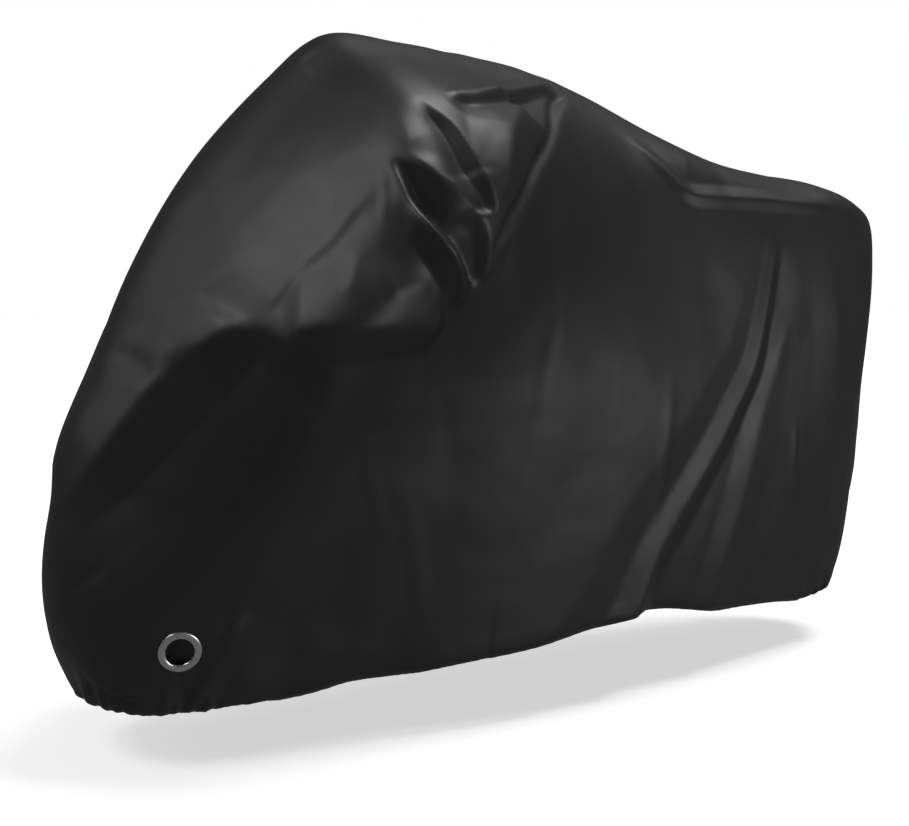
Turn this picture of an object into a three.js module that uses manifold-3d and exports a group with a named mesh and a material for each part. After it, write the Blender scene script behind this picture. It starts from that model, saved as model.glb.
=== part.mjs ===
// A motorcycle cover in its draped shape: one hood of thin black cloth, open at the bottom, with a
// steel eyelet low on each side of the nose. Millimetres. While the cover is worked out, x runs
// from the nose back to the tail, y to the right and z up from the floor. The group then moves it
// all, so that the origin is the point under the crest of the cloth, where the cover is held up.

import * as THREE from "three";
import { mergeVertices } from "three/addons/utils/BufferGeometryUtils.js";
import Module from "manifold-3d";

// Driving dimensions: the cloth, the clearance between pieces, and the eyelets.
const CLOTH = 2;
const GAP = 0.3;
const HOLE_RADIUS = 24;
const BARREL_WALL = 1.4;
const FLANGE_RADIUS = 37;
const FLANGE_HEIGHT = 3.2;
const WASHER_RADIUS = 35;
const WASHER = 1.2;
const PATCH_RADIUS = 50;
const FLAT_RADIUS = 60;
const BLEND_RADIUS = 105;
const ROUND_STEPS = 44;

// How far up a section its half-breadths are given, from the hem at 0 to the centre line at 1.
const LEVELS = [0, 0.22, 0.45, 0.68, 0.86, 0.96, 1];

// The hood's sections, from the one that lies flat round the nose to the one that lies flat round
// the tail. Foot and head are [x, z] of the hem and of the centre line, breadth is the half-width
// at each level but the last, which is 0, and cells is how many steps lead to the next section.
const SECTIONS = [
  { foot: [20, 88], head: [-225, 104], breadth: [152, 156, 154, 144, 114, 64], cells: 2 },
  { foot: [55, 88], head: [-271, 222], breadth: [164, 170, 168, 152, 112, 60], cells: 3 },
  { foot: [100, 92], head: [-281, 350], breadth: [170, 182, 188, 174, 124, 62], cells: 3 },
  { foot: [150, 100], head: [-247, 520], breadth: [178, 194, 214, 212, 146, 72], cells: 3 },
  { foot: [200, 110], head: [-179, 700], breadth: [188, 210, 246, 264, 184, 84], cells: 4 },
  { foot: [245, 113], head: [-97, 880], breadth: [198, 222, 272, 336, 224, 96], cells: 5 },
  { foot: [290, 114], head: [12, 1050], breadth: [208, 238, 290, 380, 240, 100], cells: 6 },
  { foot: [335, 116], head: [154, 1200], breadth: [222, 254, 306, 402, 268, 100], cells: 5 },
  { foot: [390, 122], head: [267, 1286], breadth: [236, 268, 314, 404, 300, 106], cells: 5 },
  { foot: [470, 128], head: [410, 1286], breadth: [248, 282, 322, 380, 300, 116], cells: 4 },
  { foot: [580, 137], head: [560, 1276], breadth: [260, 292, 318, 322, 250, 98], cells: 3 },
  { foot: [700, 150], head: [715, 1260], breadth: [262, 292, 306, 272, 188, 78], cells: 3 },
  { foot: [820, 162], head: [870, 1219], breadth: [258, 286, 296, 246, 166, 82], cells: 3 },
  { foot: [930, 158], head: [1020, 1158], breadth: [238, 272, 284, 248, 196, 116], cells: 4 },
  { foot: [1030, 141], head: [1180, 1104], breadth: [224, 256, 270, 252, 212, 146], cells: 4 },
  { foot: [1120, 128], head: [1340, 1080], breadth: [208, 240, 256, 246, 214, 152], cells: 3 },
  { foot: [1200, 122], head: [1500, 1067], breadth: [194, 226, 244, 234, 204, 150], cells: 3 },
  { foot: [1270, 116], head: [1612, 1041], breadth: [180, 210, 228, 216, 186, 136], cells: 3 },
  { foot: [1330, 110], head: [1690, 994], breadth: [168, 194, 210, 190, 150, 100], cells: 2 },
  { foot: [1372, 104], head: [1698, 810], breadth: [160, 182, 192, 164, 112, 62], cells: 2 },
  { foot: [1400, 100], head: [1689, 600], breadth: [154, 170, 176, 150, 100, 56], cells: 2 },
  { foot: [1422, 98], head: [1677, 400], breadth: [148, 158, 158, 132, 88, 48], cells: 2 },
  { foot: [1440, 97], head: [1663, 250], breadth: [144, 148, 142, 116, 76, 42], cells: 2 },
  { foot: [1455, 96], head: [1626, 128], breadth: [140, 138, 126, 98, 62, 33], cells: 0 },
];

// Steps of the mesh between the levels of a section, on the left side and on the right side.
const LEFT_STEPS = [3, 4, 8, 6, 3, 1];
const RIGHT_STEPS = [1, 2, 2, 2, 2, 1];

// The viewpoint of the photograph: where it was taken from in millimetres, its turn to the right of
// y and its dip below the level in degrees, and its focal length, width and height in pixels.
const VIEW = { from: [-1051.6, -2357.9, 830], turn: 34.35, dip: 5.22, focal: 1423, wide: 909, high: 826 };

// Folds of the cloth. Seen is a smooth line through points picked by eye on the photograph, in its
// pixels, and path one through points [section, span] of the plain surface. Rise is how far the fold
// stands out, or in when negative, left and right its half-widths beside the line, seen from
// outside, at the two ends, round the shape of its top, from a sharp 1 to a flat 2, and fade the
// shares of the line over which it starts and ends.
const LEFT_FOLDS = [
  // The bulge of the shoulder and the creases that run out from it over the hood.
  { name: "shoulder point", seen: [[388, 156], [388, 162]],
    rise: 20, left: [56, 56], right: [56, 56], round: 1.5, fade: [0, 0] },
  { name: "crest dent", seen: [[303, 56], [322, 72], [350, 100]],
    rise: -18, left: [16, 26], right: [18, 26], round: 1.5, fade: [0.1, 0.6] },
  { name: "crease across the top", seen: [[446, 96], [496, 99], [556, 86]],
    rise: -18, left: [18, 16], right: [18, 16], round: 1.6, fade: [0.25, 0.15] },
  { name: "curved trough", seen: [[424, 94], [446, 115], [468, 146], [484, 175], [491, 218]],
    rise: -26, left: [22, 20], right: [28, 22], round: 1.7, fade: [0.2, 0.12] },
  { name: "triangle ridge", seen: [[510, 108], [505, 163], [497, 205]],
    rise: 16, left: [20, 14], right: [46, 20], round: 1.3, fade: [0.15, 0.2] },
  { name: "taut ridge", seen: [[563, 93], [546, 150], [518, 212], [484, 268]],
    rise: 12, left: [30, 26], right: [22, 20], round: 1.5, fade: [0.08, 0.15] },
  { name: "upper pocket", seen: [[392, 162], [430, 182], [462, 207], [480, 235], [476, 268], [468, 292]],
    rise: -38, left: [34, 26], right: [30, 26], round: 2, fade: [0.3, 0.2] },
  { name: "lower pocket", seen: [[402, 205], [422, 234], [441, 270], [456, 301], [452, 324]],
    rise: -22, left: [22, 22], right: [28, 24], round: 1.8, fade: [0.25, 0.2] },
  { name: "slanting ridge", seen: [[378, 190], [337, 232], [299, 259], [262, 286]],
    rise: 10, left: [40, 34], right: [20, 26], round: 1.2, fade: [0.1, 0.5] },
  // The edge under which the cloth falls in below the shoulder.
  { name: "shoulder edge", seen: [[268, 322], [290, 338], [313, 332], [341, 326], [389, 328], [452, 326]],
    rise: 18, left: [50, 50], right: [32, 32], round: 1.6, fade: [0.1, 0.1] },
  // The long trough down the nose, the folds above it and the soft ones that fall to the hem.
  { name: "nose trough", seen: [[296, 308], [232, 380], [180, 436], [148, 468], [101, 512], [62, 540]],
    rise: -44, left: [36, 40], right: [85, 80], round: 1.8, fade: [0.35, 0.3] },
  { name: "upper nose dent", seen: [[112, 322], [166, 308], [230, 270]],
    rise: -8, left: [22, 22], right: [24, 24], round: 1.8, fade: [0.1, 0.6] },
  { name: "lower nose ridge", seen: [[95, 372], [130, 376], [150, 394]],
    rise: 8, left: [24, 22], right: [18, 18], round: 1.6, fade: [0.1, 0.4] },
  { name: "front hanging fold", seen: [[345, 330], [280, 421], [216, 500], [180, 571], [164, 640]],
    rise: -16, left: [40, 46], right: [40, 36], round: 2, fade: [0.2, 0.5] },
  { name: "second hanging fold", seen: [[388, 352], [344, 479], [309, 554], [280, 680]],
    rise: -8, left: [30, 30], right: [30, 30], round: 1.8, fade: [0.2, 0] },
  // The folds that hang at the back.
  { name: "back hollow", seen: [[712, 262], [690, 357], [649, 453], [600, 620]],
    rise: -10, left: [18, 18], right: [50, 50], round: 1.6, fade: [0.2, 0.05] },
  { name: "back ridge",
    seen: [[784, 238], [760, 283], [738, 350], [704, 416], [671, 490], [634, 557], [614, 625]],
    rise: 24, left: [24, 26], right: [30, 34], round: 1.6, fade: [0.15, 0] },
  { name: "back trough",
    seen: [[787, 262], [769, 313], [753, 372], [734, 439], [701, 494], [667, 545], [641, 620]],
    rise: -18, left: [20, 28], right: [20, 26], round: 1.8, fade: [0.15, 0] },
  { name: "second back ridge",
    seen: [[800, 272], [779, 335], [760, 409], [734, 472], [720, 530], [698, 612]],
    rise: 14, left: [26, 30], right: [24, 26], round: 1.6, fade: [0.2, 0] },
  { name: "corner ridge", seen: [[812, 265], [820, 330], [818, 400]],
    rise: 8, left: [28, 28], right: [28, 28], round: 1.8, fade: [0.3, 0.3] },
  // The edge of the low back, with the hollow above it.
  { name: "low back corner", seen: [[622, 134], [656, 176], [689, 200]],
    rise: 10, left: [22, 24], right: [24, 24], round: 1.5, fade: [0.2, 0] },
  { name: "low back edge", seen: [[686, 200], [745, 203], [819, 209], [862, 216]],
    rise: 15, left: [24, 24], right: [30, 30], round: 1.6, fade: [0.02, 0.05] },
  { name: "low back hollow", seen: [[700, 184], [760, 190], [830, 196]],
    rise: -16, left: [26, 26], right: [26, 26], round: 1.8, fade: [0.2, 0.2] },
];
// The far side has folds of the same kind, placed by eye where the photograph doesn't reach.
const RIGHT_FOLDS = [
  { name: "far shoulder point", path: [[7.2, 8.2], [7.25, 8.25]],
    rise: 18, left: [60, 60], right: [60, 60], round: 1.5, fade: [0, 0] },
  { name: "far taut ridge", path: [[11.2, 7], [10.2, 8.3], [9.2, 9], [8.4, 9.4]],
    rise: 12, left: [20, 20], right: [26, 26], round: 1.3, fade: [0.1, 0.2] },
  { name: "far pocket", path: [[7.4, 8.4], [8, 8.7], [8.4, 9.1], [8.3, 9.4]],
    rise: -30, left: [26, 22], right: [28, 24], round: 2, fade: [0.3, 0.2] },
  { name: "far shoulder edge", path: [[5.4, 8.5], [5.8, 8.8], [6.5, 9.2], [7.9, 9.6]],
    rise: 16, left: [22, 22], right: [45, 45], round: 1.3, fade: [0.1, 0.1] },
  { name: "far nose trough", path: [[5.4, 8.5], [4.5, 8.3], [3.6, 8.1], [2.8, 7.5], [2.3, 6.7]],
    rise: -36, left: [75, 70], right: [30, 34], round: 1.6, fade: [0.35, 0.3] },
  { name: "far hanging fold", path: [[5.7, 9.1], [4.6, 9.2], [3.4, 9.1], [2.2, 9.3]],
    rise: -14, left: [40, 40], right: [40, 40], round: 2, fade: [0.2, 0.5] },
  { name: "far back ridge", path: [[15, 8.3], [14.4, 9.2], [13.5, 10.3], [12.9, 12]],
    rise: 18, left: [30, 34], right: [20, 22], round: 1.4, fade: [0.2, 0] },
  { name: "far back trough", path: [[15.6, 8.5], [15.2, 9.6], [14.6, 10.9], [14.3, 12]],
    rise: -14, left: [20, 26], right: [20, 26], round: 1.6, fade: [0.2, 0] },
  { name: "far low back edge", path: [[13, 8.1], [14.3, 7.7], [15.6, 7.45], [16.9, 7.25]],
    rise: 13, left: [22, 22], right: [16, 16], round: 1.3, fade: [0.1, 0.05] },
];

// Where the middle of each eyelet sits on the plain surface.
const EYELETS = [
  { side: "left", section: 1.76, span: 2.44 },
  { side: "right", section: 1.76, span: 9.56 },
];

const CENTRE = LEVELS.length - 1;
const SPAN_END = 2 * CENTRE;
const PATH_STEPS = 24;
const SEARCH_STEP = 0.25;
const SEARCH_END = 0.004;

// The value at t between b and c of a smooth curve through a, b, c and d.
function smooth(a, b, c, d, t) {
  const bend = 2 * a - 5 * b + 4 * c - d + t * (3 * (b - c) + d - a);
  return b + 0.5 * t * (c - a + t * bend);
}

// The row at a fractional index, where rows are equally long lists of numbers.
function rowAt(rows, index) {
  const last = rows.length - 1;
  const i = Math.min(Math.floor(index), last - 1);
  const pick = (k, n) => {
    if (k < 0) return 2 * rows[0][n] - rows[1][n];
    if (k > last) return 2 * rows[last][n] - rows[last - 1][n];
    return rows[k][n];
  };
  return rows[0].map((_, n) =>
    smooth(pick(i - 1, n), pick(i, n), pick(i + 1, n), pick(i + 2, n), index - i),
  );
}

const SECTION_ROWS = SECTIONS.map((s) => [...s.foot, ...s.head, ...s.breadth, 0]);

// The plain surface at a section and at a span, which runs from the left hem at 0 over the centre
// line to the right hem at 12.
function plainPoint(section, span) {
  const [footX, footZ, headX, headZ, ...breadth] = rowAt(SECTION_ROWS, section);
  const side = (sign) =>
    LEVELS.map((level, i) => [
      footX + level * (headX - footX),
      sign * breadth[i],
      footZ + level * (headZ - footZ),
    ]);
  const arch = [...side(-1), ...side(1).slice(0, CENTRE).reverse()];
  return new THREE.Vector3(...rowAt(arch, span));
}

// A place on the plain surface: its point and the outward normal there.
function plainPlace(section, span) {
  const step = 0.1;
  const along = plainPoint(section + step, span).sub(plainPoint(section - step, span));
  const across = plainPoint(section, span + step).sub(plainPoint(section, span - step));
  return { middle: plainPoint(section, span), normal: along.cross(across).normalize() };
}

// The viewpoint, with the directions ahead of it, to its right and up.
const viewFrom = new THREE.Vector3(...VIEW.from);
const viewTurn = THREE.MathUtils.degToRad(VIEW.turn);
const viewDip = THREE.MathUtils.degToRad(VIEW.dip);
const ahead = new THREE.Vector3(
  Math.sin(viewTurn) * Math.cos(viewDip),
  Math.cos(viewTurn) * Math.cos(viewDip),
  -Math.sin(viewDip),
);
const rightward = new THREE.Vector3(Math.cos(viewTurn), -Math.sin(viewTurn), 0);
const upward = rightward.clone().cross(ahead);

// How far from a pixel of the photograph a place on the plain surface shows.
function missOf(pixel, section, span) {
  const line = plainPoint(section, span).sub(viewFrom);
  const scale = VIEW.focal / line.dot(ahead);
  const x = VIEW.wide / 2 + line.dot(rightward) * scale;
  const y = VIEW.high / 2 - line.dot(upward) * scale;
  return Math.hypot(x - pixel[0], y - pixel[1]);
}

// Places all over the plain surface that face the viewpoint, from which a search starts.
const startPlaces = [];
for (let section = 0; section <= SECTIONS.length - 1; section += SEARCH_STEP)
  for (let span = 0; span <= SPAN_END; span += SEARCH_STEP) {
    const { middle, normal } = plainPlace(section, span);
    if (middle.sub(viewFrom).dot(normal) < 0) startPlaces.push([section, span]);
  }

// The section and span of the plain surface that the photograph shows at a pixel: the nearest of the
// start places, then of its neighbours in ever smaller steps.
function placeSeen(pixel) {
  const nearest = (places) => {
    const misses = places.map((place) => missOf(pixel, ...place));
    return places[misses.indexOf(Math.min(...misses))];
  };
  let [section, span] = nearest(startPlaces);
  for (let step = SEARCH_STEP / 2; step > SEARCH_END; step /= 2) {
    const around = [-step, 0, step].flatMap((a) =>
      [-step, 0, step].map((b) => [section + a, span + b]),
    );
    [section, span] = nearest(around);
  }
  return [section, span];
}

// The outward normals of a grid of points, from the points on either side.
function gridNormals(points, columns) {
  const rows = points.length / columns;
  return points.map((_, k) => {
    const i = Math.floor(k / columns);
    const j = k % columns;
    const at = (r, c) => {
      const row = THREE.MathUtils.clamp(r, 0, rows - 1);
      const column = THREE.MathUtils.clamp(c, 0, columns - 1);
      return points[row * columns + column];
    };
    const along = at(i + 1, j).clone().sub(at(i - 1, j));
    const across = at(i, j + 1).clone().sub(at(i, j - 1));
    return along.cross(across).normalize();
  });
}

// How much of a fold there is at a share t of its path.
function fading(t, [start, end]) {
  const rise = start > 0 ? THREE.MathUtils.smoothstep(t, 0, start) : 1;
  const fall = end > 0 ? THREE.MathUtils.smoothstep(1 - t, 0, end) : 1;
  return rise * fall;
}

// A function that gives how far one fold moves a point of the plain surface along its normal.
function foldRise(fold) {
  const path = fold.seen ? fold.seen.map(placeSeen) : fold.path;
  const knots = [];
  for (let k = 0; k <= PATH_STEPS; k++) {
    const t = k / PATH_STEPS;
    knots.push(plainPoint(...rowAt(path, t * (path.length - 1))));
  }
  const reach = 3 * Math.max(...fold.left, ...fold.right);
  const room = new THREE.Box3().setFromPoints(knots).expandByScalar(reach);
  const nearest = new THREE.Vector3();
  return (point, normal) => {
    if (!room.containsPoint(point)) return 0;
    let best = { distance: Infinity };
    for (let k = 0; k < PATH_STEPS; k++) {
      const piece = new THREE.Line3(knots[k], knots[k + 1]);
      const share = piece.closestPointToPointParameter(point, true);
      piece.at(share, nearest);
      const distance = nearest.distanceTo(point);
      if (distance < best.distance) {
        const aside = point.clone().sub(nearest);
        const direction = piece.delta(new THREE.Vector3());
        best = { distance, aside, direction, t: (k + share) / PATH_STEPS };
      }
    }
    const onLeft = normal.clone().cross(best.direction).dot(best.aside) > 0;
    const [first, last] = onLeft ? fold.left : fold.right;
    const width = THREE.MathUtils.lerp(first, last, best.t);
    const profile = Math.exp(-((best.distance / width) ** fold.round));
    return fold.rise * profile * fading(best.t, fold.fade);
  };
}

// The fractional indices of the mesh lines: the given number of equal steps in each unit.
function meshLines(steps) {
  const lines = [0];
  steps.forEach((count, unit) => {
    for (let k = 1; k <= count; k++) lines.push(unit + k / count);
  });
  return lines;
}

// A closed wall of the cloth's thickness on a grid of points, its rim along the hem.
function clothWall(outer, columns) {
  const rows = outer.length / columns;
  const normals = gridNormals(outer, columns);
  const inner = outer.map((point, k) => point.clone().addScaledVector(normals[k], -CLOTH));
  const under = outer.length;
  const faces = [];
  const quad = (a, b, c, d) => faces.push(a, b, c, a, c, d);
  for (let i = 0; i < rows - 1; i++)
    for (let j = 0; j < columns - 1; j++) {
      const a = i * columns + j;
      quad(a, a + columns, a + columns + 1, a + 1);
      quad(under + a, under + a + 1, under + a + columns + 1, under + a + columns);
    }
  const rim = [];
  for (let j = 0; j < columns - 1; j++) rim.push(j);
  for (let i = 0; i < rows - 1; i++) rim.push(i * columns + columns - 1);
  for (let j = columns - 1; j > 0; j--) rim.push((rows - 1) * columns + j);
  for (let i = rows - 1; i > 0; i--) rim.push(i * columns);
  rim.forEach((a, k) => {
    const b = rim[(k + 1) % rim.length];
    quad(a, b, under + b, under + a);
  });
  const geometry = new THREE.BufferGeometry();
  const positions = [...outer, ...inner].flatMap((p) => p.toArray());
  geometry.setAttribute("position", new THREE.Float32BufferAttribute(positions, 3));
  geometry.setIndex(faces);
  return geometry;
}

// A geometry made round the y axis, set on an eyelet's seat with height 0 on the cloth's outer face.
function seated(geometry, seat) {
  geometry.deleteAttribute("normal");
  geometry.deleteAttribute("uv");
  const turn = new THREE.Quaternion().setFromUnitVectors(new THREE.Vector3(0, 1, 0), seat.normal);
  const place = new THREE.Matrix4().compose(seat.middle, turn, new THREE.Vector3(1, 1, 1));
  return mergeVertices(geometry.applyMatrix4(place), 1e-4);
}

// A solid of revolution from a closed profile of [radius, height] points that runs anticlockwise.
function ring(profile, seat) {
  const closed = [...profile, profile[0]];
  const outline = closed.map(([radius, height]) => new THREE.Vector2(radius, height));
  return seated(new THREE.LatheGeometry(outline, ROUND_STEPS), seat);
}

// The outer grid: the plain surface with its folds, made flat round each eyelet.
const seats = EYELETS.map(({ section, span }) => plainPlace(section, span));
const sectionLines = meshLines(SECTIONS.slice(0, -1).map((s) => s.cells));
const spanLines = meshLines([...LEFT_STEPS, ...RIGHT_STEPS.slice().reverse()]);
const columns = spanLines.length;
const plain = sectionLines.flatMap((section) =>
  spanLines.map((span) => plainPoint(section, span)),
);
const plainNormals = gridNormals(plain, columns);
const rises = [...LEFT_FOLDS, ...RIGHT_FOLDS].map(foldRise);
const draped = plain.map((point, k) => {
  const normal = plainNormals[k];
  const rise = rises.reduce((sum, riseOf) => sum + riseOf(point, normal), 0);
  const moved = point.clone().addScaledVector(normal, rise);
  for (const seat of seats) {
    const distance = moved.distanceTo(seat.middle);
    const flatness = 1 - THREE.MathUtils.smoothstep(distance, FLAT_RADIUS, BLEND_RADIUS);
    const height = moved.clone().sub(seat.middle).dot(seat.normal);
    moved.addScaledVector(seat.normal, -height * flatness);
  }
  return moved;
});

const wasm = await Module();
wasm.setup();

// A geometry as a solid for cutting, and back.
function toSolid(geometry) {
  const vertProperties = geometry.attributes.position.array;
  const triVerts = new Uint32Array(geometry.index.array);
  return new wasm.Manifold(new wasm.Mesh({ numProp: 3, vertProperties, triVerts }));
}
function toGeometry(solid) {
  const mesh = solid.getMesh();
  const geometry = new THREE.BufferGeometry();
  geometry.setAttribute("position", new THREE.Float32BufferAttribute(mesh.vertProperties, 3));
  geometry.setIndex(Array.from(mesh.triVerts));
  return geometry;
}

const cloth = new THREE.MeshStandardMaterial({ color: 0x1b1b1c, roughness: 0.62, metalness: 0 });
const steel = new THREE.MeshStandardMaterial({ color: 0xc9cacc, roughness: 0.24, metalness: 1 });
const group = new THREE.Group();

function add(name, geometry, material) {
  const mesh = new THREE.Mesh(geometry, material);
  mesh.name = name;
  group.add(mesh);
}

// The hood of cloth, with a round opening for each eyelet's patch.
const openings = seats.map((seat) => {
  const radius = PATCH_RADIUS + GAP;
  return toSolid(seated(new THREE.CylinderGeometry(radius, radius, 24, ROUND_STEPS), seat));
});
const wall = toSolid(clothWall(draped, columns));
const hood = openings.reduce((solid, opening) => solid.subtract(opening), wall);
add("cover", toGeometry(hood), cloth);

// The eyelets: a flat round patch of the cloth, a domed flange with a barrel through the patch, and
// a washer behind it.
const barrel = HOLE_RADIUS + BARREL_WALL;
const back = -CLOTH - GAP;
const patchProfile = [
  [barrel + GAP, -CLOTH],
  [PATCH_RADIUS, -CLOTH],
  [PATCH_RADIUS, 0],
  [barrel + GAP, 0],
];
const flangeProfile = [
  [HOLE_RADIUS, back - WASHER - 0.8],
  [barrel, back - WASHER - 0.8],
  [barrel, GAP],
  [FLANGE_RADIUS, GAP],
  [FLANGE_RADIUS, GAP + 0.8],
  [FLANGE_RADIUS - 2, GAP + FLANGE_HEIGHT - 0.9],
  [FLANGE_RADIUS - 5.5, GAP + FLANGE_HEIGHT],
  [HOLE_RADIUS + 4.5, GAP + FLANGE_HEIGHT],
  [HOLE_RADIUS + 1.4, GAP + FLANGE_HEIGHT - 0.8],
  [HOLE_RADIUS, GAP + FLANGE_HEIGHT - 2.4],
];
const washerProfile = [
  [barrel + GAP, back - WASHER],
  [WASHER_RADIUS, back - WASHER],
  [WASHER_RADIUS, back],
  [barrel + GAP, back],
];
EYELETS.forEach(({ side }, i) => {
  add(`eyelet_patch_${side}`, ring(patchProfile, seats[i]), cloth);
  add(`eyelet_${side}`, ring(flangeProfile, seats[i]), steel);
  add(`eyelet_washer_${side}`, ring(washerProfile, seats[i]), steel);
});

// The origin goes under the cloth at the crest, on the centre line of the section that holds it.
const CREST_SECTION = 9;
const crest = plainPoint(CREST_SECTION, CENTRE);
group.position.set(-crest.x, 0, CLOTH - crest.z);

export default group;
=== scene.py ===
import math

import bpy
import numpy as np
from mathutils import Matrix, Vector
from mathutils.kdtree import KDTree


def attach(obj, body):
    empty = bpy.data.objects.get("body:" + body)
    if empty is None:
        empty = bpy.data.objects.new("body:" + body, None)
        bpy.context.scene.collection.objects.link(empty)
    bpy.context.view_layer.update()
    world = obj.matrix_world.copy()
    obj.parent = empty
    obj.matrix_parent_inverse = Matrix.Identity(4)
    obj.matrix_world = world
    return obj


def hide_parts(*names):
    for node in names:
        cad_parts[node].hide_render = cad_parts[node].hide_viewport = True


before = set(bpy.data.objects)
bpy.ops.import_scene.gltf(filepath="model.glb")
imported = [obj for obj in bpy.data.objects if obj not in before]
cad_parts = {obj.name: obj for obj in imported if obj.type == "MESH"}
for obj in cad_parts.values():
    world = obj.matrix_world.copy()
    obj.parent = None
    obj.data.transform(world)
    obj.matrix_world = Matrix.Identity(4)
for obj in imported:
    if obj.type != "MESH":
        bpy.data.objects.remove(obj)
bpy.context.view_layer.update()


# The hood: one large sheet of thin black cloth with a smooth coated face, which hangs from its
# crest in the shape that it is drawn over, open below. It is worked out in millimetres, with x towards
# the tail, y to the right and z up from the floor, then moved so that its crest is the origin.
CLOTH = 2.0
CREST = np.array([410.0, 0.0, 1284.0])

# A section of the hood is an arch from the left hem over the centre line to the right hem. Its
# half-breadths are given at these levels between the hem at 0 and the centre line at 1.
LEVELS = np.array([0, 0.22, 0.45, 0.68, 0.86, 0.96, 1])

# Columns: x and z of the hem, x and z of the centre line, and the half-breadths at the levels.
SECTIONS = [
    (20, 88, -225, 104, 152, 156, 154, 144, 114, 64, 0),
    (55, 88, -271, 222, 164, 170, 168, 152, 112, 60, 0),
    (100, 92, -281, 350, 170, 182, 188, 174, 124, 62, 0),
    (150, 100, -247, 520, 178, 194, 214, 212, 146, 72, 0),
    (200, 110, -179, 700, 188, 210, 246, 264, 184, 84, 0),
    (245, 113, -97, 880, 198, 222, 272, 336, 224, 96, 0),
    (290, 114, 12, 1050, 208, 238, 290, 380, 240, 100, 0),
    (335, 116, 154, 1200, 222, 254, 306, 402, 268, 100, 0),
    (390, 122, 267, 1286, 236, 268, 314, 404, 300, 106, 0),
    (470, 128, 410, 1286, 248, 282, 322, 380, 300, 116, 0),
    (580, 137, 560, 1276, 260, 292, 318, 322, 250, 98, 0),
    (700, 150, 715, 1260, 262, 292, 306, 272, 188, 78, 0),
    (820, 162, 870, 1219, 258, 286, 296, 246, 166, 82, 0),
    (930, 158, 1020, 1158, 238, 272, 284, 248, 196, 116, 0),
    (1030, 141, 1180, 1104, 224, 256, 270, 252, 212, 146, 0),
    (1120, 128, 1340, 1080, 208, 240, 256, 246, 214, 152, 0),
    (1200, 122, 1500, 1067, 194, 226, 244, 234, 204, 150, 0),
    (1270, 116, 1612, 1041, 180, 210, 228, 216, 186, 136, 0),
    (1330, 110, 1690, 994, 168, 194, 210, 190, 150, 100, 0),
    (1372, 104, 1698, 810, 160, 182, 192, 164, 112, 62, 0),
    (1400, 100, 1689, 600, 154, 170, 176, 150, 100, 56, 0),
    (1422, 98, 1677, 400, 148, 158, 158, 132, 88, 48, 0),
    (1440, 97, 1663, 250, 144, 148, 142, 116, 76, 42, 0),
    (1455, 96, 1626, 128, 140, 138, 126, 98, 62, 33, 0),
]
HEM_SPAN = 2 * (len(LEVELS) - 1)


def smooth_rows(rows, at):
    """Rows of numbers at fractional indices, on a smooth curve through the given rows."""
    rows = np.asarray(rows, float)
    at = np.clip(np.asarray(at, float), 0, len(rows) - 1)
    first = np.minimum(at.astype(int), len(rows) - 2)
    t = (at - first)[:, None]
    padded = np.vstack([2 * rows[0] - rows[1], rows, 2 * rows[-1] - rows[-2]])
    a, b, c, d = (padded[first + k] for k in range(4))
    return b + 0.5 * t * (c - a + t * (2 * a - 5 * b + 4 * c - d + t * (3 * (b - c) + d - a)))


def plain_surface(sections, spans):
    """The hood without its folds, as a grid of points for section and span numbers."""
    grid = []
    for foot_x, foot_z, head_x, head_z, *breadth in smooth_rows(SECTIONS, sections):
        x = foot_x + LEVELS * (head_x - foot_x)
        z = foot_z + LEVELS * (head_z - foot_z)
        right = np.column_stack([x, breadth, z])
        arch = np.vstack([right * (1, -1, 1), right[-2::-1]])
        grid.append(smooth_rows(arch, spans))
    return np.array(grid)


def surface_points(pairs):
    """Points of the plain hood at pairs of section and span."""
    return np.array([plain_surface([section], [span])[0, 0] for section, span in pairs])


def surface_normals(pairs):
    """Outward normals of the plain hood at pairs of section and span."""
    s, v = np.array(pairs).T
    along = surface_points(zip(s + 0.06, v)) - surface_points(zip(s - 0.06, v))
    across = surface_points(zip(s, v + 0.06)) - surface_points(zip(s, v - 0.06))
    normals = np.cross(along, across)
    return normals / np.linalg.norm(normals, axis=1, keepdims=True)


def grid_normals(grid):
    """Outward normals of a grid of points."""
    normals = np.cross(np.gradient(grid, axis=0), np.gradient(grid, axis=1))
    return normals / np.maximum(np.linalg.norm(normals, axis=2, keepdims=True), 1e-9)


def evened_normals(grid, reach):
    """Outward normals of a grid of points, each evened out over about that reach in mm."""
    normals = grid_normals(grid)
    for axis in (0, 1):
        gaps = np.linalg.norm(np.diff(grid, axis=axis), axis=2)
        steps = int(round((reach / gaps.mean()) ** 2))
        for _ in range(steps):
            rows = np.moveaxis(normals, axis, 0)
            rows[1:-1] += (rows[:-2] - 2 * rows[1:-1] + rows[2:]) / 4
    return normals / np.linalg.norm(normals, axis=2, keepdims=True)


def soft_step(value, length):
    """From 0 to 1 as value goes from 0 to length."""
    if length == 0:
        return np.ones_like(value)
    t = np.clip(value / length, 0, 1)
    return t * t * (3 - 2 * t)


def cross_section(across, corners, rounding):
    """Height of a fold's cross-section through its corners, with each corner rounded off."""
    offsets, heights = np.array(corners[::-1], float).T
    slopes = np.diff(heights) / np.diff(offsets)
    turns = np.diff(slopes, prepend=0, append=0)
    height = heights[0]
    for turn, offset in zip(turns, offsets):
        past = across - offset
        height = height + turn * (past + np.hypot(past, rounding)) / 2
    return height


FOLD_POINTS = 41


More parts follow.
